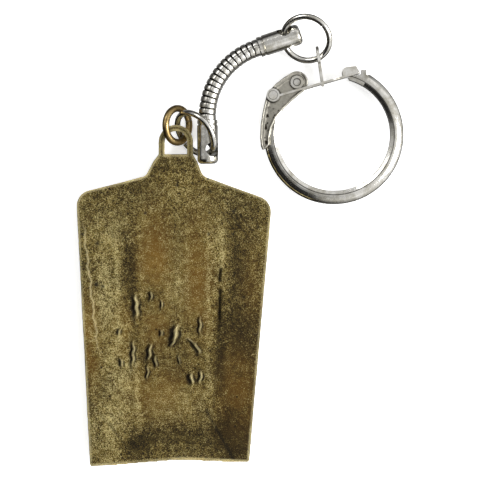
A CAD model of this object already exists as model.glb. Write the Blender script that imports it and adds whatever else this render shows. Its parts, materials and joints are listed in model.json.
"""Looks of a cast brass fob on a snake chain with a lever-lock key ring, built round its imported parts.

Lengths in the shape functions are millimetres and become metres in the meshes. The fob's own
shapes are drawn about the centre of its eye, with the plain back facing up.
"""

import json
import math

import bmesh
import bpy
import numpy as np
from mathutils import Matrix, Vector, kdtree, noise


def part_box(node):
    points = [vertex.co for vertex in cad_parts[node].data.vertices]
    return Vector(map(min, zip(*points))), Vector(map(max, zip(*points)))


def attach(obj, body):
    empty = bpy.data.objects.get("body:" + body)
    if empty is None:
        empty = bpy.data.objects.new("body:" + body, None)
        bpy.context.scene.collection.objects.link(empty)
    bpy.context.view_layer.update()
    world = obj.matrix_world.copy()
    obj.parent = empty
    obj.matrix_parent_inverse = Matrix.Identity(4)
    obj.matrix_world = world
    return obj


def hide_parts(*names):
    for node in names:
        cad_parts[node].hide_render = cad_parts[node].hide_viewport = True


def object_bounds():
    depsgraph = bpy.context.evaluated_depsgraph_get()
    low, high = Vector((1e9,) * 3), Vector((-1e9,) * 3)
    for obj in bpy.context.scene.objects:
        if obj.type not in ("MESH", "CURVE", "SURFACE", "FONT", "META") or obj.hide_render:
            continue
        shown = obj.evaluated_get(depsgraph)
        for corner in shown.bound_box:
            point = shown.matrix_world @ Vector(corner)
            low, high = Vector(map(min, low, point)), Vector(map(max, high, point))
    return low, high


bl_info = {
    "name": "Cast fob keychain",
    "version": (1, 0, 0),
    "blender": (4, 5, 0),
    "location": "3D View > Sidebar > Keychain",
    "description": "Builds the cast fob and gives the rings, chain and lever lock their finishes",
    "category": "Object",
}

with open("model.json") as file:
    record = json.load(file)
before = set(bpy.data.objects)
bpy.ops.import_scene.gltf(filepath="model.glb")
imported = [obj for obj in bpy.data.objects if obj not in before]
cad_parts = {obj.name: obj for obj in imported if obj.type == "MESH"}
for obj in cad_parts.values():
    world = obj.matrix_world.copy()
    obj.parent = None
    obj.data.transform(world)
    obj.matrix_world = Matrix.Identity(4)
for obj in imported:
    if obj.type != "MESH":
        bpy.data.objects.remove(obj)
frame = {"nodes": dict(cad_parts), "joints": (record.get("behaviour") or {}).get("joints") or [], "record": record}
CAD_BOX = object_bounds()

MM = 0.001


def srgb(red, green, blue):
    """Screen colour, 0 to 255 a channel, as the linear RGBA that sockets hold."""

    def channel(value):
        share = value / 255
        return share / 12.92 if share <= 0.04045 else ((share + 0.055) / 1.055) ** 2.4

    return (channel(red), channel(green), channel(blue), 1.0)


# ---- settings ----------------------------------------------------------------------------------


def colour_prop(name, description, default):
    return bpy.props.FloatVectorProperty(
        name=name, description=description, default=default, subtype="COLOR", size=4, min=0, max=1
    )


def length_prop(name, description, default):
    return bpy.props.FloatProperty(
        name=name, description=description, default=default, unit="LENGTH", precision=5, min=0
    )


def factor_prop(name, description, default):
    return bpy.props.FloatProperty(
        name=name, description=description, default=default, subtype="FACTOR", min=0, max=1
    )


class FobSettings(bpy.types.PropertyGroup):
    """Shape and colours of the cast fob"""

    cell: length_prop("Mesh cell", "Edge length of the casting's mesh cells", 0.17 * MM)
    panel_depth: length_prop("Panel depth", "Depth of the sunk panel in the back", 0.42 * MM)
    rim_height: length_prop("Rim height", "Height of the rim along the left edge", 0.16 * MM)
    edge_round: length_prop("Edge rounding", "Radius of the casting's worn edges", 0.55 * MM)
    ripple: length_prop("Ripple", "Height of the sand mould's slow ripple", 0.09 * MM)
    shade: colour_prop("Shade", "Tarnish in the hollows of the sand skin", srgb(26, 20, 7))
    body: colour_prop("Body", "Main colour of the aged brass", srgb(146, 124, 62))
    speckle: colour_prop("Speckle", "Bright tops of the sand grains", srgb(226, 212, 150))
    amber: colour_prop("Amber", "Warm brown tarnish", srgb(150, 110, 40))
    bare: colour_prop("Bare brass", "Rubbed edges and torn slivers", srgb(242, 226, 168))


class MetalSettings(bpy.types.PropertyGroup):
    """Colours and polish of the rings, chain and key ring"""

    plating: colour_prop("Plating", "Bright nickel plating", srgb(226, 224, 218))
    dull_plating: colour_prop("Dull plating", "Nickel where fingers have dulled it", srgb(176, 172, 160))
    worn_plating: colour_prop("Worn plating", "Thin grey plating on the lever's web", srgb(140, 137, 128))
    grime: colour_prop("Grime", "Dirt caught in seams and corners", srgb(34, 31, 26))
    ring_brass: colour_prop("Ring brass", "Polished brass of the heavy jump ring", srgb(158, 136, 92))
    dull_brass: colour_prop("Dull brass", "Brown film on the brass ring", srgb(92, 76, 44))
    cell: length_prop("Mesh cell", "Edge length of the stamped parts' mesh cells", 0.1 * MM)
    border: length_prop("Border", "Width of the lever's raised border", 0.5 * MM)
    press: length_prop("Press depth", "Depth of the lever's sunk web", 0.14 * MM)
    polish: factor_prop("Polish", "Roughness of the brightest plating", 0.1)
    satin: factor_prop("Satin", "Roughness of the stamped sheet", 0.3)


class StageSettings(bpy.types.PropertyGroup):
    """Floor, light and camera"""

    floor: colour_prop("Floor", "Colour of the plain floor", srgb(250, 250, 249))
    floor_size: length_prop("Floor size", "Side of the square floor", 1.6)
    lens: bpy.props.FloatProperty(
        name="Lens", description="Focal length", default=200, unit="CAMERA", min=20
    )
    framed: length_prop("Framed width", "Width that the camera sees at the fob's back", 96.2 * MM)
    sky: bpy.props.FloatProperty(
        name="Sky", description="Brightness of the studio walls", default=1.0, min=0
    )
    key: bpy.props.FloatProperty(
        name="Key light", description="Power of the main soft light", default=3.2, unit="POWER", min=0
    )


# ---- node helpers ------------------------------------------------------------------------------


def put(tree, kind, inputs=None, **settings):
    """A new node: settings are its properties, inputs maps sockets to what they hold or what feeds them."""
    made = tree.nodes.new("ShaderNode" + kind)
    for name, value in settings.items():
        setattr(made, name, value)
    for name, value in (inputs or {}).items():
        if isinstance(value, bpy.types.NodeSocket):
            tree.links.new(value, made.inputs[name])
        else:
            made.inputs[name].default_value = value
    return made


def maths(tree, operation, first, second=0.5, clamp=False):
    return put(tree, "Math", {0: first, 1: second}, operation=operation, use_clamp=clamp).outputs[0]


def spread(tree, value, low, high, out_low=0.0, out_high=1.0):
    """Value between low and high as a clamped smooth share from out_low to out_high."""
    inputs = {"Value": value, 1: low, 2: high, 3: out_low, 4: out_high}
    return put(tree, "MapRange", inputs, interpolation_type="SMOOTHSTEP").outputs["Result"]


def mix_colour(tree, share, first, second):
    return put(tree, "Mix", {0: share, 6: first, 7: second}, data_type="RGBA").outputs[2]


def mix_value(tree, share, first, second):
    return put(tree, "Mix", {0: share, 2: first, 3: second}, data_type="FLOAT").outputs[0]


def attribute(tree, name):
    return put(tree, "Attribute", attribute_name=name).outputs["Fac"]


def new_group(name, inputs, outputs):
    """An empty shader group with named sockets, and its input and output nodes."""
    group = bpy.data.node_groups.new(name, "ShaderNodeTree")
    for label, kind, default in inputs:
        socket = group.interface.new_socket(label, in_out="INPUT", socket_type="NodeSocket" + kind)
        socket.default_value = default
    for label, kind in outputs:
        group.interface.new_socket(label, in_out="OUTPUT", socket_type="NodeSocket" + kind)
    return group, group.nodes.new("NodeGroupInput").outputs, group.nodes.new("NodeGroupOutput").inputs


def use_group(tree, name, inputs):
    return put(tree, "Group", inputs, node_tree=bpy.data.node_groups[name]).outputs


def millimetre_coords(tree):
    """The piece's own coordinates, in millimetres, so that a finish stays put when the piece moves."""
    local = put(tree, "TexCoord").outputs["Object"]
    return put(tree, "VectorMath", {0: local, 3: 1 / MM}, operation="SCALE").outputs[0]


# ---- shared effects ----------------------------------------------------------------------------


def sand_skin_group():
    """Grain of a sand mould: fine grain, soft lumps, small pores and slow patches."""
    group, given, result = new_group(
        "Sand skin",
        [("Grain", "Float", 2.2), ("Pores", "Float", 0.5)],
        [
            ("Grain", "Float"), ("Pores", "Float"), ("Patches", "Float"), ("Lumps", "Float"),
            ("Height", "Float"),
        ],
    )
    at = millimetre_coords(group)
    lump = put(group, "TexNoise", {"Vector": at, "Scale": 0.8, "Detail": 4, "Roughness": 0.7})
    group.links.new(lump.outputs["Fac"], result["Lumps"])
    grain = put(group, "TexNoise", {"Vector": at, "Scale": given["Grain"], "Detail": 5, "Roughness": 0.62})
    fine_scale = maths(group, "MULTIPLY", given["Grain"], 2.7)
    fine = put(group, "TexVoronoi", {"Vector": at, "Scale": fine_scale}, feature="F1")
    cells = put(group, "TexVoronoi", {"Vector": at, "Scale": given["Pores"]}, feature="F1")
    rare = put(group, "TexNoise", {"Vector": at, "Scale": 0.21, "Detail": 1})
    near_pore = spread(group, cells.outputs["Distance"], 0.05, 0.12, 1, 0)
    pores = maths(group, "MULTIPLY", near_pore, spread(group, rare.outputs["Fac"], 0.45, 0.56))
    patches = put(group, "TexNoise", {"Vector": at, "Scale": 0.16, "Detail": 4, "Roughness": 0.6})
    beads = maths(group, "MULTIPLY", fine.outputs["Distance"], -0.45)
    height = maths(group, "ADD", grain.outputs["Fac"], beads)
    group.links.new(grain.outputs["Fac"], result["Grain"])
    group.links.new(pores, result["Pores"])
    group.links.new(patches.outputs["Fac"], result["Patches"])
    group.links.new(maths(group, "SUBTRACT", height, pores), result["Height"])


def handling_group():
    """Handling marks on polished metal: fine scratches, dull finger film and tiny dents."""
    group, given, result = new_group(
        "Handling",
        [("Film", "Float", 0.4), ("Scratches", "Float", 9.0), ("Along", "Vector", (1.0, 0.08, 1.0))],
        [("Film", "Float"), ("Scratches", "Float"), ("Height", "Float")],
    )
    at = millimetre_coords(group)
    film = put(group, "TexNoise", {"Vector": at, "Scale": given["Film"], "Detail": 4, "Roughness": 0.65})
    stretched = put(group, "VectorMath", {0: at, 1: given["Along"]}, operation="MULTIPLY").outputs[0]
    lines = put(group, "TexNoise", {"Vector": stretched, "Scale": given["Scratches"], "Detail": 3})
    dents = put(group, "TexNoise", {"Vector": at, "Scale": 1.3, "Detail": 1})
    scratches = spread(group, lines.outputs["Fac"], 0.58, 0.7)
    relief = maths(group, "MULTIPLY", scratches, -0.35)
    group.links.new(spread(group, film.outputs["Fac"], 0.35, 0.68), result["Film"])
    group.links.new(scratches, result["Scratches"])
    group.links.new(maths(group, "ADD", relief, dents.outputs["Fac"]), result["Height"])


def round_distance_group():
    """Distance, in millimetres, from an upright axis through a centre."""
    group, given, result = new_group(
        "Round distance", [("Centre", "Vector", (0.0, 0.0, 0.0))], [("Distance", "Float")]
    )
    at = millimetre_coords(group)
    offset = put(group, "VectorMath", {0: at, 1: given["Centre"]}, operation="SUBTRACT").outputs[0]
    flat = put(group, "VectorMath", {0: offset, 1: (1, 1, 0)}, operation="MULTIPLY").outputs[0]
    away = put(group, "VectorMath", {0: flat}, operation="LENGTH").outputs["Value"]
    group.links.new(away, result["Distance"])


# ---- finishes ----------------------------------------------------------------------------------

SOOT = srgb(14, 11, 7)
CAST_GRAIN = 6.2
CAST_PORES = 0.42
CAST_METAL = 0.72
CAST_RELIEF = 0.26 * MM
FILE_TURN = (0, 0, math.radians(52))
FILE_STRETCH = (0.12, 2.6, 1.0)
PLATED_RELIEF = 0.03 * MM
DIRT_ROUGH = 0.6


def new_material(name):
    material = bpy.data.materials.new(name)
    material.use_nodes = True
    tree = material.node_tree
    return material, tree, tree.nodes["Principled BSDF"].inputs


def file_marks(tree):
    """Mask of fine parallel scratches that run down to the right."""
    at = millimetre_coords(tree)
    swung = put(tree, "Mapping", {"Vector": at, "Rotation": FILE_TURN}).outputs[0]
    drawn = put(tree, "VectorMath", {0: swung, 1: FILE_STRETCH}, operation="MULTIPLY").outputs[0]
    lines = put(tree, "TexNoise", {"Vector": drawn, "Scale": 1.0, "Detail": 2})
    return spread(tree, lines.outputs["Fac"], 0.53, 0.62)


def cast_brass_finish(fob):
    """Tarnished sand-cast brass, bare on its edges and slivers and sooty in its hollows."""
    material, tree, surface = new_material("Cast brass")
    skin = use_group(tree, "Sand skin", {"Grain": CAST_GRAIN, "Pores": CAST_PORES})
    pale = attribute(tree, "pale")
    shifted = maths(tree, "ADD", skin["Grain"], maths(tree, "MULTIPLY", pale, 0.07))
    shifted = maths(tree, "ADD", shifted, spread(tree, skin["Lumps"], 0.3, 0.7, -0.045, 0.045))
    # grain first, then the tarnish over it
    grain = spread(tree, shifted, 0.43, 0.59)
    colour = mix_colour(tree, grain, tuple(fob.shade), tuple(fob.body))
    warm = maths(tree, "MULTIPLY", attribute(tree, "amber"), spread(tree, skin["Patches"], 0.25, 0.6))
    colour = mix_colour(tree, maths(tree, "MULTIPLY", warm, 0.85), colour, tuple(fob.amber))
    dusk = maths(tree, "MULTIPLY", spread(tree, pale, -0.9, 0.15, 1, 0), 0.45)
    colour = mix_colour(tree, dusk, colour, tuple(fob.shade))
    mottle = spread(tree, skin["Patches"], 0.42, 0.62, 0, 0.3)
    colour = mix_colour(tree, mottle, colour, tuple(fob.shade))
    # bright grain tops, file scratches, rubbed edges, and soot last of all
    light = maths(tree, "ADD", shifted, maths(tree, "MULTIPLY", pale, 0.02))
    tops = maths(tree, "MULTIPLY", spread(tree, light, 0.56, 0.67), 0.85)
    colour = mix_colour(tree, tops, colour, tuple(fob.speckle))
    scored = maths(tree, "MULTIPLY", file_marks(tree), attribute(tree, "filed"))
    colour = mix_colour(tree, maths(tree, "MULTIPLY", scored, 0.6), colour, tuple(fob.shade))
    rubbed = maths(tree, "MULTIPLY", attribute(tree, "rubbed"), spread(tree, skin["Grain"], 0.25, 0.55))
    colour = mix_colour(tree, rubbed, colour, tuple(fob.bare))
    soot = maths(tree, "MAXIMUM", attribute(tree, "soot"), skin["Pores"])
    colour = mix_colour(tree, maths(tree, "MULTIPLY", soot, 0.92), colour, SOOT)
    tree.links.new(colour, surface["Base Color"])
    surface["Metallic"].default_value = CAST_METAL
    dull = spread(tree, skin["Grain"], 0.35, 0.65, 0.62, 0.42)
    tree.links.new(mix_value(tree, rubbed, dull, 0.24), surface["Roughness"])
    bump = put(tree, "Bump", {"Height": skin["Height"], "Strength": 1.0, "Distance": CAST_RELIEF})
    tree.links.new(bump.outputs["Normal"], surface["Normal"])
    return material


def near(tree, distance, middle, half_width):
    """Soft mask of the band of distances round middle."""
    away = maths(tree, "ABSOLUTE", maths(tree, "SUBTRACT", distance, middle))
    return spread(tree, away, 0.3 * half_width, half_width, 1, 0)


def plated_finish(name, bright, dull, smooth, rough, along, relief, seams=(), grime=None):
    """Bright metal with a patchy finger film and fine scratches along the way it was drawn or rolled.

    seams lists (centre, radius, half width, strength) of round lines that hold dirt, in
    millimetres; the piece may carry a "grime" mask of its own too.
    """
    material, tree, surface = new_material(name)
    marks = use_group(tree, "Handling", {"Film": 0.45, "Scratches": 7.0, "Along": along})
    colour = mix_colour(tree, marks["Film"], tuple(bright), tuple(dull))
    colour = mix_colour(tree, maths(tree, "MULTIPLY", marks["Scratches"], 0.35), colour, tuple(dull))
    blotch = mix_value(tree, marks["Film"], smooth, rough)
    rough_here = maths(tree, "ADD", blotch, maths(tree, "MULTIPLY", marks["Scratches"], 0.12), clamp=True)
    if grime is not None:
        dirt = attribute(tree, "grime")
        for centre, radius, half_width, strength in seams:
            away = use_group(tree, "Round distance", {"Centre": centre})["Distance"]
            line = maths(tree, "MULTIPLY", near(tree, away, radius, half_width), strength)
            dirt = maths(tree, "MAXIMUM", dirt, line)
        colour = mix_colour(tree, dirt, colour, tuple(grime))
        rough_here = mix_value(tree, dirt, rough_here, DIRT_ROUGH)
    tree.links.new(colour, surface["Base Color"])
    surface["Metallic"].default_value = 1.0
    tree.links.new(rough_here, surface["Roughness"])
    bump = put(tree, "Bump", {"Height": marks["Height"], "Strength": relief, "Distance": PLATED_RELIEF})
    tree.links.new(bump.outputs["Normal"], surface["Normal"])
    return material


def paint_node(node, material):
    """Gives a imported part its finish."""
    for spot in frame["nodes"][node].material_slots:
        spot.material = material


# ---- shape helpers -----------------------------------------------------------------------------


def new_piece(name, data):
    """A new object in the scene that holds a mesh, a lamp or a camera."""
    piece = bpy.data.objects.new(name, data)
    bpy.context.scene.collection.objects.link(piece)
    return piece


def to_data(mesh, name):
    """Turns an edited mesh into mesh data, and frees it."""
    data = bpy.data.meshes.new(name)
    mesh.to_mesh(data)
    mesh.free()
    return data


def smooth(data):
    for face in data.polygons:
        face.use_smooth = True


def centre_of(node):
    """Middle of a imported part's box, in millimetres."""
    return tuple(sum(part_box(node), Vector()) / 2 / MM)


def body_of(node):
    """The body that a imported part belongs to."""
    bodies = frame["record"]["behaviour"]["bodies"]
    return next(name for name, nodes in bodies.items() if node in nodes)


def ramp(value, low, high):
    """Smooth share from 0 at low to 1 at high."""
    share = np.clip((value - low) / (high - low), 0, 1)
    return share * share * (3 - 2 * share)


def ripple_at(points, scale):
    """Seeded noise between about -1 and 1 at each point."""
    return np.array([noise.noise(Vector(p) * scale) for p in points])


def fuse(piece, cell):
    """Turns a piece's overlapping solids into one skin of even cells; gives its points and normals."""
    skin = piece.modifiers.new("Skin", "REMESH")
    skin.mode, skin.voxel_size, skin.use_smooth_shade = "VOXEL", cell, True
    solid = piece.evaluated_get(bpy.context.evaluated_depsgraph_get())
    fused = bpy.data.meshes.new_from_object(solid)
    piece.modifiers.clear()
    piece.data = fused
    fused.materials.clear()
    count = len(fused.vertices)
    at, facing = np.zeros(count * 3), np.zeros(count * 3)
    fused.vertices.foreach_get("co", at)
    fused.vertex_normals.foreach_get("vector", facing)
    return at.reshape(-1, 3), facing.reshape(-1, 3)


def finish_skin(piece, at, masks, material, body, node):
    """Writes moved points, in millimetres, and masks back, and sets the piece in the model."""
    data = piece.data
    data.vertices.foreach_set("co", (at * MM).reshape(-1))
    for name, values in masks.items():
        spot = data.attributes.new(name, "FLOAT", "POINT")
        spot.data.foreach_set("value", np.clip(values, -1, 1).astype(np.float32))
    data.update()
    data.materials.append(material)
    smooth(data)
    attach(piece, body)
    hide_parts(node)


# ---- fob casting -------------------------------------------------------------------------------

FOB_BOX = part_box("fob_casting")
EYE_R = 3.45
EYE_HOLE_R = 2.25
EYE_T = 1.3
EYE_LEG = 2.54
SHOULDER_Y = -10.35
TOP_HALF_W = 19.6
BOTTOM_HALF_W = 15.9
TOP_X = -0.36
BOTTOM_X = -1.26
SHOULDER_DROP = 1.45
TOP_CORNER_R = 3.2
BOTTOM_CORNER_R = 0.5
BOTTOM_BOW = 1.5
BOTTOM_BOW_R = 30
BOTTOM_LIFT = 0.9
NECK_LEFT, NECK_RIGHT, NECK_ROOT = -6, 5.4, -6.8
WAIST_LEFT, WAIST_RIGHT = (-4.5, -3.9, 2), (4.3, -3.9, 2)
FOB_T = (FOB_BOX[1].z - FOB_BOX[0].z) / MM
PLATE_T = 1.8
PAD_T = (FOB_T - PLATE_T) / 2
BOTTOM_Y = (FOB_BOX[0].y - FOB_BOX[1].y) / MM + EYE_R
EYE_AT = Vector((FOB_BOX[0].x / MM + TOP_HALF_W - TOP_X, FOB_BOX[1].y / MM - EYE_R, 0))
EYE_TOP = FOB_T - 0.1
ARC_STEPS = 10
ARCH_POINTS = 24
HEADROOM = 0.3


def rounded(corners):
    """Closed outline through corners (x, y, radius)."""
    outline = []
    for i, (x, y, radius) in enumerate(corners):
        here = Vector((x, y))
        if radius == 0:
            outline.append(here)
            continue
        back = (Vector(corners[i - 1][:2]) - here).normalized()
        ahead = (Vector(corners[(i + 1) % len(corners)][:2]) - here).normalized()
        half = back.angle(ahead) / 2
        hub = here + (back + ahead).normalized() * radius / math.sin(half)
        first = here + back * radius / math.tan(half) - hub
        last = here + ahead * radius / math.tan(half) - hub
        turn = math.atan2(first.x * last.y - first.y * last.x, first.dot(last))
        start = math.atan2(first.y, first.x)
        for k in range(ARC_STEPS + 1):
            a = start + turn * k / ARC_STEPS
            outline.append(hub + radius * Vector((math.cos(a), math.sin(a))))
    return outline


def body_corners(inset=0.0):
    """Corners of the fob's body, from its upper left down and round to its upper right."""
    return [
        (TOP_X - TOP_HALF_W + inset, SHOULDER_Y - inset, TOP_CORNER_R),
        (BOTTOM_X - BOTTOM_HALF_W + inset, BOTTOM_Y + inset, BOTTOM_CORNER_R),
        (BOTTOM_X + 2, BOTTOM_Y + BOTTOM_BOW + inset, BOTTOM_BOW_R),
        (BOTTOM_X + BOTTOM_HALF_W - inset, BOTTOM_Y + BOTTOM_LIFT + inset, BOTTOM_CORNER_R),
        (TOP_X + TOP_HALF_W - inset, SHOULDER_Y - SHOULDER_DROP - inset, TOP_CORNER_R),
    ]


def body_outline(inset=0.0):
    """Edge of the fob's body; inset draws it smaller."""
    root = NECK_ROOT - inset
    return rounded([(NECK_LEFT, root, 0), *body_corners(inset), (NECK_RIGHT, root, 0)])


def neck_outline():
    """Neck from the shoulders up to the legs of the eye."""
    return rounded([
        (-7.5, -7.4, 0), (NECK_LEFT, NECK_ROOT, 2), WAIST_LEFT, (-EYE_R, -EYE_LEG, 0),
        (EYE_R, -EYE_LEG, 0), WAIST_RIGHT, (NECK_RIGHT, NECK_ROOT, 2), (7, -7.4, 0),
    ])


def arc(radius, angles):
    return [Vector((radius * math.cos(a), radius * math.sin(a))) for a in angles]


def silhouette():
    """Outer edge of the whole casting, without the eye's hole."""
    arch = [(*point, 0) for point in arc(EYE_R, np.linspace(0, math.pi, ARCH_POINTS))]
    return rounded([
        (NECK_LEFT, NECK_ROOT, 2), *body_corners(), (NECK_RIGHT, NECK_ROOT, 2), WAIST_RIGHT,
        (EYE_R, -EYE_LEG, 0), *arch, (-EYE_R, -EYE_LEG, 0), WAIST_LEFT,
    ])


def eye_hole():
    """Edge of the hole in the cast eye."""
    arch = arc(EYE_HOLE_R, np.linspace(0, math.pi, ARCH_POINTS))
    return [Vector((EYE_HOLE_R, -EYE_LEG)), *arch, Vector((-EYE_HOLE_R, -EYE_LEG))]


def eye_outline():
    """The cast eye as one horseshoe, from its left foot round to its right foot."""
    steps = 40
    sweep = [math.pi * (1 - k / steps) for k in range(steps + 1)]
    outer = arc(EYE_R, sweep)
    inner = arc(EYE_HOLE_R, reversed(sweep))
    foot = -EYE_LEG - 0.3
    return [
        Vector((-EYE_R, foot)), *outer, Vector((EYE_R, foot)),
        Vector((EYE_HOLE_R, foot)), *inner, Vector((-EYE_HOLE_R, foot)),
    ]


def add_prism(mesh, outline, low, high):
    """Adds a closed upright prism on an outline, between two heights."""
    rings = [[mesh.verts.new((p.x, p.y, z)) for p in outline] for z in (low, high)]
    caps = [mesh.faces.new(list(reversed(rings[0]))), mesh.faces.new(rings[1])]
    for i in range(len(outline)):
        j = (i + 1) % len(outline)
        mesh.faces.new((rings[0][i], rings[0][j], rings[1][j], rings[1][i]))
    bmesh.ops.triangulate(mesh, faces=caps)


def edge_distance(xy, outline):
    """Distance of each point from the nearest side of an outline."""
    corners = np.array([tuple(p) for p in outline])
    nearest = np.full(len(xy), 1e9)
    for a, b in zip(corners, np.roll(corners, -1, axis=0)):
        side = b - a
        share = np.clip(((xy - a) @ side) / max(side @ side, 1e-9), 0, 1)
        nearest = np.minimum(nearest, np.linalg.norm(xy - a - share[:, None] * side, axis=1))
    return nearest


def blob(xy, centre, half_width, half_length, lean=0.0):
    """Soft mound of height 1, taller than wide when half_length is the larger; lean turns it clockwise."""
    a = math.radians(lean)
    dx, dy = xy[:, 0] - centre[0], xy[:, 1] - centre[1]
    across = (dx * math.cos(a) - dy * math.sin(a)) / half_width
    along = (dx * math.sin(a) + dy * math.cos(a)) / half_length
    return np.exp(-(across**2 + along**2))


def groove(xy, start, end, half_width):
    """Soft line of depth 1 from start to end."""
    a, side = np.array(start), np.array(end) - np.array(start)
    share = np.clip(((xy - a) @ side) / (side @ side), 0, 1)
    return np.exp(-((np.linalg.norm(xy - a - share[:, None] * side, axis=1) / half_width) ** 2))


# torn slivers in the panel: centre x, y, half width, half length, lean
SLIVERS = [
    (-8.0, -32.8, 0.5, 2.4, -4), (-5.0, -30.7, 0.28, 0.8, 4), (-2.9, -32.4, 0.22, 0.9, -6),
    (-0.2, -38.3, 0.6, 1.9, 12), (-0.7, -40.2, 0.35, 0.8, 30), (-3.0, -38.2, 0.3, 0.6, 0),
    (4.8, -36.7, 0.3, 1.7, 2), (4.2, -41.2, 0.4, 1.3, -28), (3.0, -39.9, 0.22, 1.0, -48),
    (-8.6, -42.2, 0.34, 2.5, 2), (-10.9, -44.1, 0.32, 0.9, -20), (-5.3, -42.0, 0.4, 1.6, 8),
    (-4.1, -43.9, 0.3, 1.1, -6), (-5.7, -46.0, 0.24, 1.4, 3), (3.1, -47.3, 0.46, 1.1, -8),
    (4.9, -46.9, 0.34, 1.2, 6), (0.6, -43.6, 0.2, 0.8, 0), (-11.3, -37.9, 0.3, 0.6, 10),
]
# open pores: centre x, y, radius
PORES = [
    (0.3, -8.6, 0.3), (6.9, -9.8, 0.32), (-6.1, -14.2, 0.26), (11.6, -13.8, 0.3), (6.8, -14.1, 0.22),
    (16.5, -17.0, 0.3), (6.6, -18.4, 0.26), (11.4, -18.4, 0.26), (-18.7, -18.3, 0.28),
    (-15.7, -20.3, 0.38), (-15.9, -28.5, 0.5), (-14.6, -28.9, 0.34), (13.6, -31.0, 0.3),
]
# where brown tarnish gathers: centre x, y, half width, half length, strength
AMBER = [
    (-4.2, -24.0, 3.2, 9.0, 1.0), (4.4, -28.0, 3.0, 12.0, 0.8), (-17.5, -40.0, 2.2, 8.0, 0.9),
    (12.5, -50.0, 4.0, 9.0, 0.75), (-3.0, -50.0, 7.0, 5.0, 0.55), (-4.0, -36.0, 3.5, 6.0, 0.6),
    (-10.5, -38.0, 2.0, 5.0, 0.6), (15.0, -30.0, 3.0, 10.0, 0.3),
]
# where the skin is rubbed paler: centre x, y, half width, half length, strength
PALE = [
    (-14.0, -31.0, 2.6, 9.0, 1.0), (-13.0, -56.0, 3.4, 8.0, 1.0), (-13.0, -17.5, 5.0, 4.0, 0.5),
    (9.0, -22.0, 2.2, 8.0, 0.7), (2.0, -11.0, 8.0, 3.0, 0.3), (0.0, -28.0, 2.0, 8.0, 0.5),
    (1.0, -52.0, 6.0, 5.0, 0.45), (-9.6, -46.0, 1.6, 8.0, 0.5), (-12.0, -45.0, 3.0, 4.0, 0.5),
]
# where it is darker: centre x, y, half width, half length, strength
DARK = [
    (12.0, -24.0, 2.2, 7.0, 0.5), (-8.9, -24.0, 1.6, 7.0, 0.5), (11.0, -58.0, 3.0, 5.0, 0.5),
    (-8.2, -60.5, 3.0, 3.0, 0.6), (13.0, -36.0, 3.5, 6.0, 0.35), (2.0, -58.5, 6.0, 2.0, 0.4),
    (9.0, -44.0, 1.0, 8.0, 0.4), (-17.0, -50.0, 1.6, 6.0, 0.3), (0.5, -47.0, 3.5, 3.0, 0.2),
]
# steps that catch the light: start x, y, end x, y, strength
LIT_STEPS = [
    (-11.9, -17.0, -11.4, -40.0, 0.7), (-8.0, -43.0, -7.2, -58.0, 0.6), (6.4, -18.0, 6.6, -50.0, 0.6),
    (2.2, -17.0, 2.4, -33.0, 0.35), (-7.2, -18.0, -7.0, -34.0, 0.45), (9.4, -18.0, 9.2, -25.0, 0.5),
    (-16.6, -46.0, -16.4, -62.0, 0.5),
]
# where a file has scratched it: centre x, y, half width, half length, strength
FILED = [
    (12.5, -15.0, 5.0, 4.5, 1.0), (14.0, -37.0, 4.0, 5.0, 0.9), (12.0, -58.0, 4.0, 4.0, 0.7),
    (-14.5, -56.0, 4.0, 6.0, 0.6), (-12.0, -15.5, 4.5, 3.0, 0.5),
]
CREST, HOLLOW, UNDERCUT = 0.4, 0.5, 0.3
SLIT_DEPTH = 0.45
PORE_DEPTH = 0.35
RIDGE_RISE = 0.14
SEAM_DEPTH = 0.12
STEP_WIDTH = 0.55
DARK_PULL = 1.5


def strongest(xy, spots):
    """Mask that takes, at each point, the strongest of some soft spots."""
    mask = np.zeros(len(xy))
    for cx, cy, w, l, strength in spots:
        mask = np.maximum(mask, strength * blob(xy, (cx, cy), w, l))
    return mask


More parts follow.
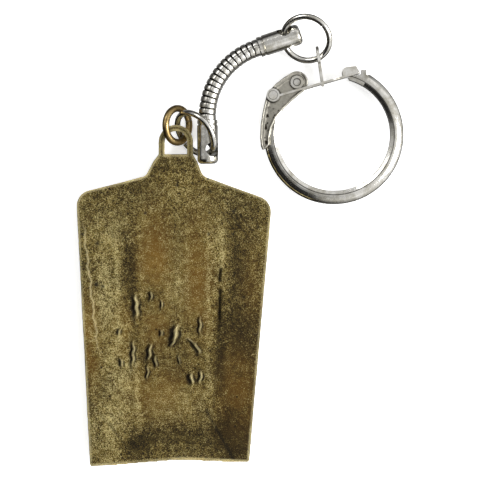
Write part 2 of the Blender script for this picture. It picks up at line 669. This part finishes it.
def back_relief(xy, fob):
    """Height of the fob's back above its flat face, and its tarnish masks, at points in millimetres."""
    x, y = xy[:, 0], xy[:, 1]
    depth, rim = fob.panel_depth / MM, fob.rim_height / MM
    # sunk panel: an outer step, a deeper channel inside it, and walls that fade out near the bottom
    left, right = -11.2 + 0.03 * (-y - 15), 8.7 + 0.01 * (-y - 15)
    arch = -15.2 - 0.035 * (x + 1.2) ** 2
    inside = ramp(x, left - 0.5, left + 0.5) * ramp(right - x, -0.25, 0.3) * ramp(arch - y, -0.8, 1.2)
    inside *= ramp(y, -62.5, -58.0)
    channel = ramp(x, -8.4, -7.4) * ramp(6.2 - x, -0.6, 0.8) * ramp(-17.0 - y, -1, 2.5)
    channel *= ramp(y, -62.0, -55.0)
    height = -depth * (0.45 * inside + 0.55 * channel)
    # slopes below the mitre lines, and the lines themselves
    mitre_right = groove(xy, (6.2, -54.0), (11.8, -63.9), 0.32)
    mitre_left = groove(xy, (-17.6, -51.5), (-9.2, -61.5), 0.3)
    height -= 0.16 * mitre_right + 0.08 * mitre_left
    height -= 0.18 * ramp(-y, 56.5, 64.0) * ramp(x, -10, -6) * ramp(9 - x, 0, 3)
    # rim along the left edge, with a thin rubbed inner line
    rim_x = -18.3 + 0.118 * (-y - 18) + 0.16 * np.sin(y * 1.3) + 0.1 * np.sin(y * 3.1)
    along_rim = ramp(-y, 15, 20) * ramp(y, -44, -36)
    height += rim * ramp(rim_x - x, -0.25, 0.1) * along_rim
    rim_line = np.exp(-(((x - rim_x) / 0.17) ** 2)) * along_rim
    # slit beside the right wall of the panel
    slit = groove(xy, (9.0, -25.4), (8.7, -27.6), 0.24) + groove(xy, (8.9, -29.6), (8.7, -35.4), 0.26)
    height -= SLIT_DEPTH * np.clip(slit, 0, 1)
    height += RIDGE_RISE * groove(xy, (-8.4, -45.5), (-7.6, -57.0), 0.7)
    soot, rubbed = 0.95 * np.clip(slit, 0, 1), 0.75 * rim_line
    for cx, cy, w, l, lean in SLIVERS:
        ragged = 0.12 * np.sin(3.1 * y + cx * 5)
        shifted = xy + np.stack([ragged, np.zeros_like(y)], axis=1)
        crest = blob(shifted, (cx + 0.3 * w, cy), 0.75 * w, l, lean)
        hollow = blob(shifted, (cx - 1.0 * w, cy - 0.1 * l), 0.9 * w, 1.05 * l, lean)
        under = blob(shifted, (cx + 1.5 * w, cy - 0.15 * l), 0.6 * w, 0.9 * l, lean)
        height += CREST * crest - HOLLOW * hollow - UNDERCUT * under
        rubbed = np.maximum(rubbed, 1.9 * crest - 0.5)
        soot = np.maximum(soot, np.maximum(1.7 * hollow, 1.3 * under) - 1.6 * crest)
    for cx, cy, r in PORES:
        pore = blob(xy, (cx, cy), r, r)
        height -= PORE_DEPTH * pore
        soot = np.maximum(soot, 1.1 * pore)
    seam = groove(xy, (8.7, -36.0), (7.4, -55.0), 0.22)
    height -= SEAM_DEPTH * seam
    for line, dirt in ((seam, 0.3), (mitre_right, 0.75), (mitre_left, 0.35)):
        soot = np.maximum(soot, dirt * line)
    pale = np.zeros(len(xy))
    for cx, cy, w, l, strength in PALE:
        pale += strength * blob(xy, (cx, cy), w, l)
    for cx, cy, w, l, strength in DARK:
        pale -= DARK_PULL * strength * blob(xy, (cx, cy), w, l)
    # light that the steps of the panel catch, and the flank that falls away beside it
    for x0, y0, x1, y1, strength in LIT_STEPS:
        pale += strength * groove(xy, (x0, y0), (x1, y1), STEP_WIDTH)
    pale -= 0.4 * ramp(x, 7.0, 11.5) * ramp(-y, 30, 50)
    amber, filed = strongest(xy, AMBER), strongest(xy, FILED)
    return height, {"soot": soot, "rubbed": rubbed, "amber": amber, "pale": pale, "filed": filed}


def build_fob(fob):
    """The sand casting: prisms fused into one skin, then relief and worn edges pressed into it."""
    mesh = bmesh.new()
    add_prism(mesh, body_outline(4), 0, PAD_T)
    add_prism(mesh, body_outline(1.6), PAD_T * 0.8, 2 * PAD_T)
    add_prism(mesh, body_outline(), FOB_T - PLATE_T, FOB_T)
    add_prism(mesh, neck_outline(), FOB_T - PLATE_T, FOB_T)
    add_prism(mesh, eye_outline(), EYE_TOP - EYE_T, EYE_TOP)
    piece = new_piece("Fob", to_data(mesh, "Fob"))
    at, facing = fuse(piece, fob.cell / MM)
    xy = at[:, :2]
    on_back = ramp(at[:, 2], FOB_T - 0.45, FOB_T - 0.2) * ramp(facing[:, 2], 0.1, 0.5)
    on_body = ramp(-xy[:, 1], 6.5, 8.5)
    height, masks = back_relief(xy, fob)
    near_edge = np.minimum(edge_distance(xy, silhouette()), edge_distance(xy, eye_hole()))
    round_r = fob.edge_round / MM
    short = np.clip(1 - near_edge / round_r, 0, 1)
    rounding = round_r * (1 - np.sqrt(np.clip(1 - short**2, 0, 1)))
    slow = ripple_at(at, 0.16) + 0.5 * ripple_at(at, 0.55)
    lumps = ripple_at(at, 1.7) + 0.6 * ripple_at(at, 3.4)
    at[:, 2] += on_back * (height * on_body - 0.8 * rounding)
    at += facing * ((fob.ripple / MM) * 0.5 * slow + 0.035 * lumps)[:, None]
    at[:, 2] = np.clip(at[:, 2], 0.0, FOB_T + HEADROOM)
    at += np.array(EYE_AT)
    worn = ramp(-near_edge, -0.62, -0.1) * (0.55 + 0.45 * ramp(slow, -0.5, 0.4))
    masks["rubbed"] = np.maximum(masks["rubbed"] * on_back, worn * 0.9)
    masks["soot"] *= on_back * ramp(near_edge, 0.2, 0.6)
    masks["pale"] += 0.5 * ramp(lumps, 0.2, 0.9)
    finish_skin(piece, at, masks, cast_brass_finish(fob), "fob", "fob_casting")


# ---- key ring ----------------------------------------------------------------------------------

RING_R = 14.0
BAND_DOME = 1.9
BAND_SLOPE = 0.75
RIVET_HEAD_R = 1.42
RIVET_BORE_R = 0.72
HUB_R = 1.45
PIN_R = 0.95
EDGE_SINK = 0.07
DENT_SINK = 0.012


def even_skin(node, name, cell):
    """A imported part's shape in millimetres as one skin of even cells; gives the piece, points and normals."""
    data = frame["nodes"][node].data.copy()
    mesh = bmesh.new()
    mesh.from_mesh(data)
    bmesh.ops.scale(mesh, vec=(1 / MM,) * 3, verts=mesh.verts)
    bmesh.ops.remove_doubles(mesh, verts=mesh.verts, dist=0.001)
    mesh.to_mesh(data)
    mesh.free()
    piece = new_piece(name, data)
    return piece, *fuse(piece, cell)


def side_distance(at, facing):
    """Distance, in plan, from each point to the nearest upright side of the piece."""
    sides = at[np.abs(facing[:, 2]) < 0.4]
    tree = kdtree.KDTree(len(sides))
    for i, point in enumerate(sides):
        tree.insert((point[0], point[1], 0), i)
    tree.balance()
    return np.array([tree.find((p[0], p[1], 0))[2] for p in at])


def build_lever(metal):
    """The folded lever: a raised border round a sunk web, dirt in the corner between them."""
    piece, at, facing = even_skin("key_ring_lever", "Lever", metal.cell / MM)
    away = side_distance(at, facing)
    top, bottom = at[:, 2].max(), at[:, 2].min()
    upper = ramp(at[:, 2], top - 0.16, top - 0.06)
    lower = ramp(-at[:, 2], -bottom - 0.16, -bottom - 0.06)
    face_on = (upper + lower) * ramp(np.abs(facing[:, 2]), 0.3, 0.8)
    border = metal.border / MM
    web = ramp(away, 0.55 * border, 1.15 * border) * face_on
    rounding = ramp(-away, -0.16, 0.0) * face_on
    mottle = ripple_at(at, 1.1) + 0.6 * ripple_at(at, 2.6)
    sink = metal.press / MM * web + EDGE_SINK * rounding - DENT_SINK * mottle * web
    at[:, 2] -= sink * np.sign(facing[:, 2])
    low_half = ramp(at[:, 1].max() - at[:, 1], 5.5, 9.0)
    corner = np.exp(-(((away - 0.8 * border) / 0.16) ** 2)) * face_on
    speck = ramp(mottle, 0.1, 0.55)
    spots = (0.15 + 0.75 * low_half) * speck + 0.3 * low_half
    masks = {"grime": 0.6 * corner + web * spots}
    seams = [
        (centre_of("lever_rivet"), RIVET_HEAD_R, 0.16, 0.8), (centre_of("hinge_pin"), HUB_R, 0.3, 0.85),
    ]
    material = plated_finish(
        "Lever steel", metal.dull_plating, metal.worn_plating, metal.satin, 0.45, (0.3, 1, 1), 0.5,
        seams, metal.grime,
    )
    finish_skin(piece, at, masks, material, "lever", "key_ring_lever")


# ---- snake chain -------------------------------------------------------------------------------

LINK_AROUND = 72
BAND_STEPS = 10
LINK_GAP = 0.09
LINK_CROWN = 0.045
EDGE_DROP = 0.03
LIP_DROP = 0.13
END_DROP = 0.1
# inner form of a link, as (distance along, depth under its outside): its cup, then its spigot
CUP = [(0.5, 0.34), (0.3, 0.24)]
SPIGOT = [(0.07, 0.19), (0.24, 0.36)]
# the seam along the top: its place and half width in degrees, its depth and its dirt
SEAM_ANGLE, SEAM_SPAN, SEAM_CUT, SEAM_DIRT = 12, 4.0, 0.07, 0.8


def turned(way, angle):
    """A direction turned about the upright axis."""
    c, s = math.cos(angle), math.sin(angle)
    return Vector((c * way.x - s * way.y, s * way.x + c * way.y, 0))


def chain_run():
    """For each link in order: its node, its start, its direction and the pitch, in millimetres."""
    bends = [joint for joint in frame["joints"] if joint["name"].startswith("chain_bend")]
    pivots = {joint["name"]: Vector(joint["pos_m"]) / MM for joint in bends}
    ends = [pivots[name] for name in sorted(pivots)]
    pitch = (ends[1] - ends[0]).length
    ways = [(b - a).normalized() for a, b in zip(ends, ends[1:])]
    bend = ways[1].xy.angle_signed(ways[0].xy)
    ways = [turned(ways[0], -bend)] + ways + [turned(ways[-1], bend)]
    starts = [ends[0] - pitch * ways[0]] + ends
    names = sorted(node for node in frame["nodes"] if node.startswith("chain_link"))
    return [(*link, pitch) for link in zip(names, starts, ways)]


def link_profile(pitch, outer, first, last):
    """Section of a link, as (distance along, radius, dirt): a crowned band with a cup and a spigot."""
    start = 0.0 if first else LINK_GAP
    end = pitch if last else pitch - LINK_GAP
    if first:
        back = [(0.0, 0.0, 1), (0.0, outer - END_DROP, 1)]
    else:
        cup = [(along, outer - drop, 1) for along, drop in CUP]
        back = [(CUP[0][0], 0.0, 1), *cup, (start, outer - LIP_DROP, 1)]
    band = []
    for k in range(BAND_STEPS + 1):
        at_edge = k in (0, BAND_STEPS)
        rise = math.sin(math.pi * k / BAND_STEPS) ** 0.45
        radius = outer - LINK_CROWN * (1 - rise) - EDGE_DROP * at_edge
        band.append((start + (end - start) * k / BAND_STEPS, radius, 0.75 if at_edge else 0.0))
    if last:
        front = [(pitch, outer - END_DROP, 1), (pitch, 0.0, 1)]
    else:
        spigot = [(pitch + along, outer - drop, 1) for along, drop in SPIGOT]
        front = [(end, outer - LIP_DROP, 1), *spigot, (pitch + SPIGOT[-1][0], 0.0, 1)]
    return back + band + front


def seam_share(angle):
    """How deep in the seam an angle round the link is, from 0 to 1."""
    off = abs(math.degrees(angle) - SEAM_ANGLE)
    return math.exp(-((min(off, 360 - off) / SEAM_SPAN) ** 2))


def join_rings(mesh, one, two):
    """Fills the skin between two rings of points, either of which may be a single point."""
    for k in range(LINK_AROUND):
        n = (k + 1) % LINK_AROUND
        if len(one) == 1:
            mesh.faces.new((one[0], two[n], two[k]))
        elif len(two) == 1:
            mesh.faces.new((one[k], one[n], two[0]))
        else:
            mesh.faces.new((one[k], one[n], two[n], two[k]))


def build_link(node, start, way, pitch, first, last, material):
    """One link: a crowned band nested in the next, with its seam as a fine groove along the top."""
    low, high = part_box(node)
    outer = (high.z - low.z) / 2 / MM
    up, side = Vector((0, 0, 1)), Vector((-way.y, way.x, 0))
    mesh = bmesh.new()
    layer = mesh.verts.layers.float.new("grime")
    rings = []
    for along, radius, dirt in link_profile(pitch, outer, first, last):
        middle = start + along * way
        ring = []
        for k in range(LINK_AROUND if radius else 1):
            angle = 2 * math.pi * k / LINK_AROUND
            seam = seam_share(angle) if radius else 0.0
            r = radius - SEAM_CUT * seam * (1 - dirt)
            point = mesh.verts.new((middle + r * (math.cos(angle) * up + math.sin(angle) * side)) * MM)
            point[layer] = max(dirt, SEAM_DIRT * seam)
            ring.append(point)
        rings.append(ring)
    for one, two in zip(rings, rings[1:]):
        join_rings(mesh, one, two)
    bmesh.ops.recalc_face_normals(mesh, faces=mesh.faces)
    data = to_data(mesh, node)
    data.materials.append(material)
    smooth(data)
    piece = new_piece("Link_" + node[-2:], data)
    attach(piece, body_of(node))
    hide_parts(node)


# ---- stage -------------------------------------------------------------------------------------

# the walls' brightness from straight down to straight up, as (height share, grey)
WALL_STOPS = [
    (0.0, 0.5), (0.2, 0.35), (0.38, 0.08), (0.5, 0.06), (0.6, 0.2), (0.7, 0.75), (0.84, 0.95),
    (0.92, 0.66), (1.0, 0.55),
]
WINDOW_WAY = (0.92, -0.1, 0.38)
LOW_WINDOW_WAY = (0.96, -0.28, 0.0)
CARD_WAY = (-0.74, -0.67, 0.0)
CARD_SHARE = 0.04
KEY_PLACE, KEY_WIDTH, KEY_HEIGHT = (0.4, -0.06, 0.32), 0.26, 0.3
FILL_PLACE, FILL_WIDTH, FILL_HEIGHT = (-0.3, 0.34, 0.42), 0.36, 0.2
FILL_SHARE = 0.35
FLOOR_GLOW = 0.55
FLOOR_DROP = 0.02 * MM
CAMERA_SHIFT = 0.1 * MM


def aim(item, target):
    item.rotation_mode = "QUATERNION"
    item.rotation_quaternion = (Vector(target) - item.location).to_track_quat("-Z", "Y")


def soft_light(name, place, width, height, power):
    """A rectangular soft light that looks at the object."""
    lamp = bpy.data.lights.new(name, "AREA")
    lamp.shape, lamp.size, lamp.size_y, lamp.energy = "RECTANGLE", width, height, power
    item = new_piece(name, lamp)
    item.location = place
    aim(item, (0, 0, 0))


def toward(tree, way, direction):
    """How far a way points in a direction: 1 straight along it, -1 straight against it."""
    return put(tree, "VectorMath", {0: way, 1: direction}, operation="DOT_PRODUCT").outputs["Value"]


def studio_walls(strength):
    """Light from all round: grey overhead, bright half way down, dark at the horizon and below it.

    A window on the right is brighter, a second one glows low down beside it, and a dark card
    stands at the front left.
    """
    world = bpy.data.worlds.new("Studio walls")
    bpy.context.scene.world = world
    world.use_nodes = True
    tree = world.node_tree
    way = put(tree, "TexCoord").outputs["Generated"]
    up = put(tree, "SeparateXYZ", {0: way}).outputs["Z"]
    half_up = maths(tree, "ADD", maths(tree, "MULTIPLY", up, 0.5), 0.5)
    bands = put(tree, "ValToRGB", {"Fac": half_up})
    shades = bands.color_ramp.elements
    while len(shades) < len(WALL_STOPS):
        shades.new(0.5)
    for shade, (place, grey) in zip(shades, WALL_STOPS):
        shade.position = place
        shade.color = (grey, grey, grey, 1)
    flat = put(tree, "VectorMath", {0: way, 1: (1, 1, 0)}, operation="MULTIPLY").outputs[0]
    flat = put(tree, "VectorMath", {0: flat}, operation="NORMALIZE").outputs[0]
    below_top = spread(tree, up, 0.9, 0.975, 1, 0)
    card = maths(tree, "MULTIPLY", spread(tree, toward(tree, flat, CARD_WAY), 0.72, 0.88), below_top)
    lit = spread(tree, toward(tree, way, WINDOW_WAY), -0.1, 0.8, 0.7, 1.3)
    lit = maths(tree, "MULTIPLY", lit, spread(tree, card, 0.0, 1.0, 1.0, CARD_SHARE))
    low_window = spread(tree, toward(tree, flat, LOW_WINDOW_WAY), -0.1, 0.9, 0.0, 0.8)
    low_glow = maths(tree, "MULTIPLY", low_window, spread(tree, up, -0.5, -0.1))
    glow = maths(tree, "MAXIMUM", bands.outputs["Color"], low_glow)
    glow = maths(tree, "MULTIPLY", glow, lit)
    background = tree.nodes["Background"]
    tree.links.new(maths(tree, "MULTIPLY", glow, strength), background.inputs["Color"])


def build_stage(stage):
    """The pale floor under the keychain, its light, and a camera that looks straight down."""
    scene = bpy.context.scene
    scene.view_settings.view_transform = "Standard"
    low, high = CAD_BOX
    centre = (low + high) / 2

    mesh = bmesh.new()
    bmesh.ops.create_grid(mesh, x_segments=8, y_segments=8, size=stage.floor_size / 2)
    data = to_data(mesh, "Floor")
    floor = new_piece("Floor", data)
    floor.location = (centre.x, centre.y, low.z - FLOOR_DROP)
    material, _, surface = new_material("Floor")
    surface["Base Color"].default_value = tuple(stage.floor)
    surface["Roughness"].default_value = 0.9
    surface["Specular IOR Level"].default_value = 0.1
    surface["Emission Color"].default_value = tuple(stage.floor)
    surface["Emission Strength"].default_value = FLOOR_GLOW
    floor.visible_glossy = False
    data.materials.append(material)

    studio_walls(stage.sky)
    soft_light("Key", KEY_PLACE, KEY_WIDTH, KEY_HEIGHT, stage.key)
    soft_light("Fill", FILL_PLACE, FILL_WIDTH, FILL_HEIGHT, stage.key * FILL_SHARE)

    camera = bpy.data.cameras.new("Camera")
    camera.lens, camera.sensor_width = stage.lens, 36
    item = new_piece("Camera", camera)
    distance = stage.framed / 2 / (camera.sensor_width / 2 / camera.lens)
    item.location = (centre.x + CAMERA_SHIFT, centre.y, FOB_T * MM + distance)
    camera.clip_start, camera.clip_end = 0.01, 10
    scene.camera = item


# ---- operators ---------------------------------------------------------------------------------


class KEYCHAIN_OT_effects(bpy.types.Operator):
    """Make the shader groups that the finishes share"""

    bl_idname = "keychain.effects"
    bl_label = "Shared effects"

    def execute(self, context):
        sand_skin_group()
        handling_group()
        round_distance_group()
        return {"FINISHED"}


class KEYCHAIN_OT_fob(bpy.types.Operator):
    """Build the cast fob with its relief, slivers and worn edges"""

    bl_idname = "keychain.fob"
    bl_label = "Cast fob"

    def execute(self, context):
        build_fob(context.scene.fob_settings)
        return {"FINISHED"}


class KEYCHAIN_OT_rings(bpy.types.Operator):
    """Finish the brass ring and the two steel rings"""

    bl_idname = "keychain.rings"
    bl_label = "Jump rings"

    def execute(self, context):
        metal = context.scene.metal_settings
        brass = plated_finish(
            "Ring brass", metal.ring_brass, metal.dull_brass, 0.26, 0.45, (1, 1, 0.2), 0.35
        )
        steel = plated_finish(
            "Ring steel", metal.plating, metal.dull_plating, metal.polish, 0.22, (1, 0.2, 1), 0.25
        )
        paint_node("brass_jump_ring", brass)
        paint_node("lower_jump_ring", steel)
        paint_node("upper_jump_ring", steel)
        return {"FINISHED"}


class KEYCHAIN_OT_chain(bpy.types.Operator):
    """Finish the links of the snake chain and its end caps"""

    bl_idname = "keychain.chain"
    bl_label = "Snake chain"

    def execute(self, context):
        metal = context.scene.metal_settings
        links = plated_finish(
            "Chain steel", metal.plating, metal.dull_plating, 0.16, 0.3, (1, 1, 1), 0.3,
            (), metal.grime,
        )
        caps = plated_finish(
            "Cap steel", metal.plating, metal.dull_plating, 0.08, 0.2, (1, 0.1, 1), 0.3
        )
        run = chain_run()
        for i, (node, start, way, pitch) in enumerate(run):
            build_link(node, start, way, pitch, i == 0, i == len(run) - 1, links)
        paint_node("lower_end_cap", caps)
        paint_node("upper_end_cap", caps)
        return {"FINISHED"}


class KEYCHAIN_OT_key_ring(bpy.types.Operator):
    """Finish the rolled band, the lever and its rivet, and the gate with its pin and eye"""

    bl_idname = "keychain.key_ring"
    bl_label = "Key ring"

    def execute(self, context):
        metal = context.scene.metal_settings
        ring_low, ring_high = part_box("key_ring_band")
        centre = (ring_high.x / MM - RING_R, ring_low.y / MM + RING_R, 0)
        dome_r = RING_R - BAND_DOME
        seams = [(centre, dome_r, 0.16, 0.9), (centre, dome_r - BAND_SLOPE, 0.1, 0.4)]
        band = plated_finish(
            "Band steel", metal.plating, metal.dull_plating, metal.polish, 0.2, (1, 1, 0.1), 0.2,
            seams, metal.grime,
        )
        paint_node("key_ring_band", band)
        build_lever(metal)
        eyelet = plated_finish(
            "Rivet steel", metal.plating, metal.dull_plating, 0.2, 0.4, (1, 1, 1), 0.4,
            [(centre_of("lever_rivet"), RIVET_BORE_R, 0.14, 0.9)], metal.grime,
        )
        paint_node("lever_rivet", eyelet)
        pin = plated_finish(
            "Pin steel", metal.plating, metal.dull_plating, 0.25, 0.45, (1, 0.3, 1), 0.5,
            [(centre_of("hinge_pin"), PIN_R, 0.16, 0.85)], metal.grime,
        )
        paint_node("hinge_pin", pin)
        gate = plated_finish(
            "Gate steel", metal.plating, metal.dull_plating, 0.3, 0.4, (0.2, 1, 1), 0.4
        )
        paint_node("gate_bar", gate)
        paint_node("gate_eye", gate)
        return {"FINISHED"}


class KEYCHAIN_OT_stage(bpy.types.Operator):
    """Lay the floor and set the light and the camera"""

    bl_idname = "keychain.stage"
    bl_label = "Stage"

    def execute(self, context):
        build_stage(context.scene.stage_settings)
        return {"FINISHED"}


class KEYCHAIN_PT_panel(bpy.types.Panel):
    """Settings and builders of the keychain"""

    bl_idname = "KEYCHAIN_PT_panel"
    bl_label = "Keychain"
    bl_space_type = "VIEW_3D"
    bl_region_type = "UI"
    bl_category = "Keychain"

    def draw(self, context):
        for settings in (
            context.scene.fob_settings, context.scene.metal_settings, context.scene.stage_settings
        ):
            box = self.layout.box()
            for name in settings.__annotations__:
                box.prop(settings, name)
        for operator in OPERATORS:
            self.layout.operator(operator.bl_idname)


SETTINGS = {
    "fob_settings": FobSettings,
    "metal_settings": MetalSettings,
    "stage_settings": StageSettings,
}
OPERATORS = (
    KEYCHAIN_OT_effects,
    KEYCHAIN_OT_fob,
    KEYCHAIN_OT_rings,
    KEYCHAIN_OT_chain,
    KEYCHAIN_OT_key_ring,
    KEYCHAIN_OT_stage,
)


def register():
    for settings in SETTINGS.values():
        bpy.utils.register_class(settings)
    for name, settings in SETTINGS.items():
        setattr(bpy.types.Scene, name, bpy.props.PointerProperty(type=settings))
    for operator in OPERATORS:
        bpy.utils.register_class(operator)
    bpy.utils.register_class(KEYCHAIN_PT_panel)


def unregister():
    bpy.utils.unregister_class(KEYCHAIN_PT_panel)
    for operator in reversed(OPERATORS):
        bpy.utils.unregister_class(operator)
    for name in SETTINGS:
        delattr(bpy.types.Scene, name)
    for settings in SETTINGS.values():
        bpy.utils.unregister_class(settings)


def main():
    register()
    for operator in OPERATORS:
        family, action = operator.bl_idname.split(".")
        getattr(getattr(bpy.ops, family), action)()


if __name__ == "__main__":
    main()
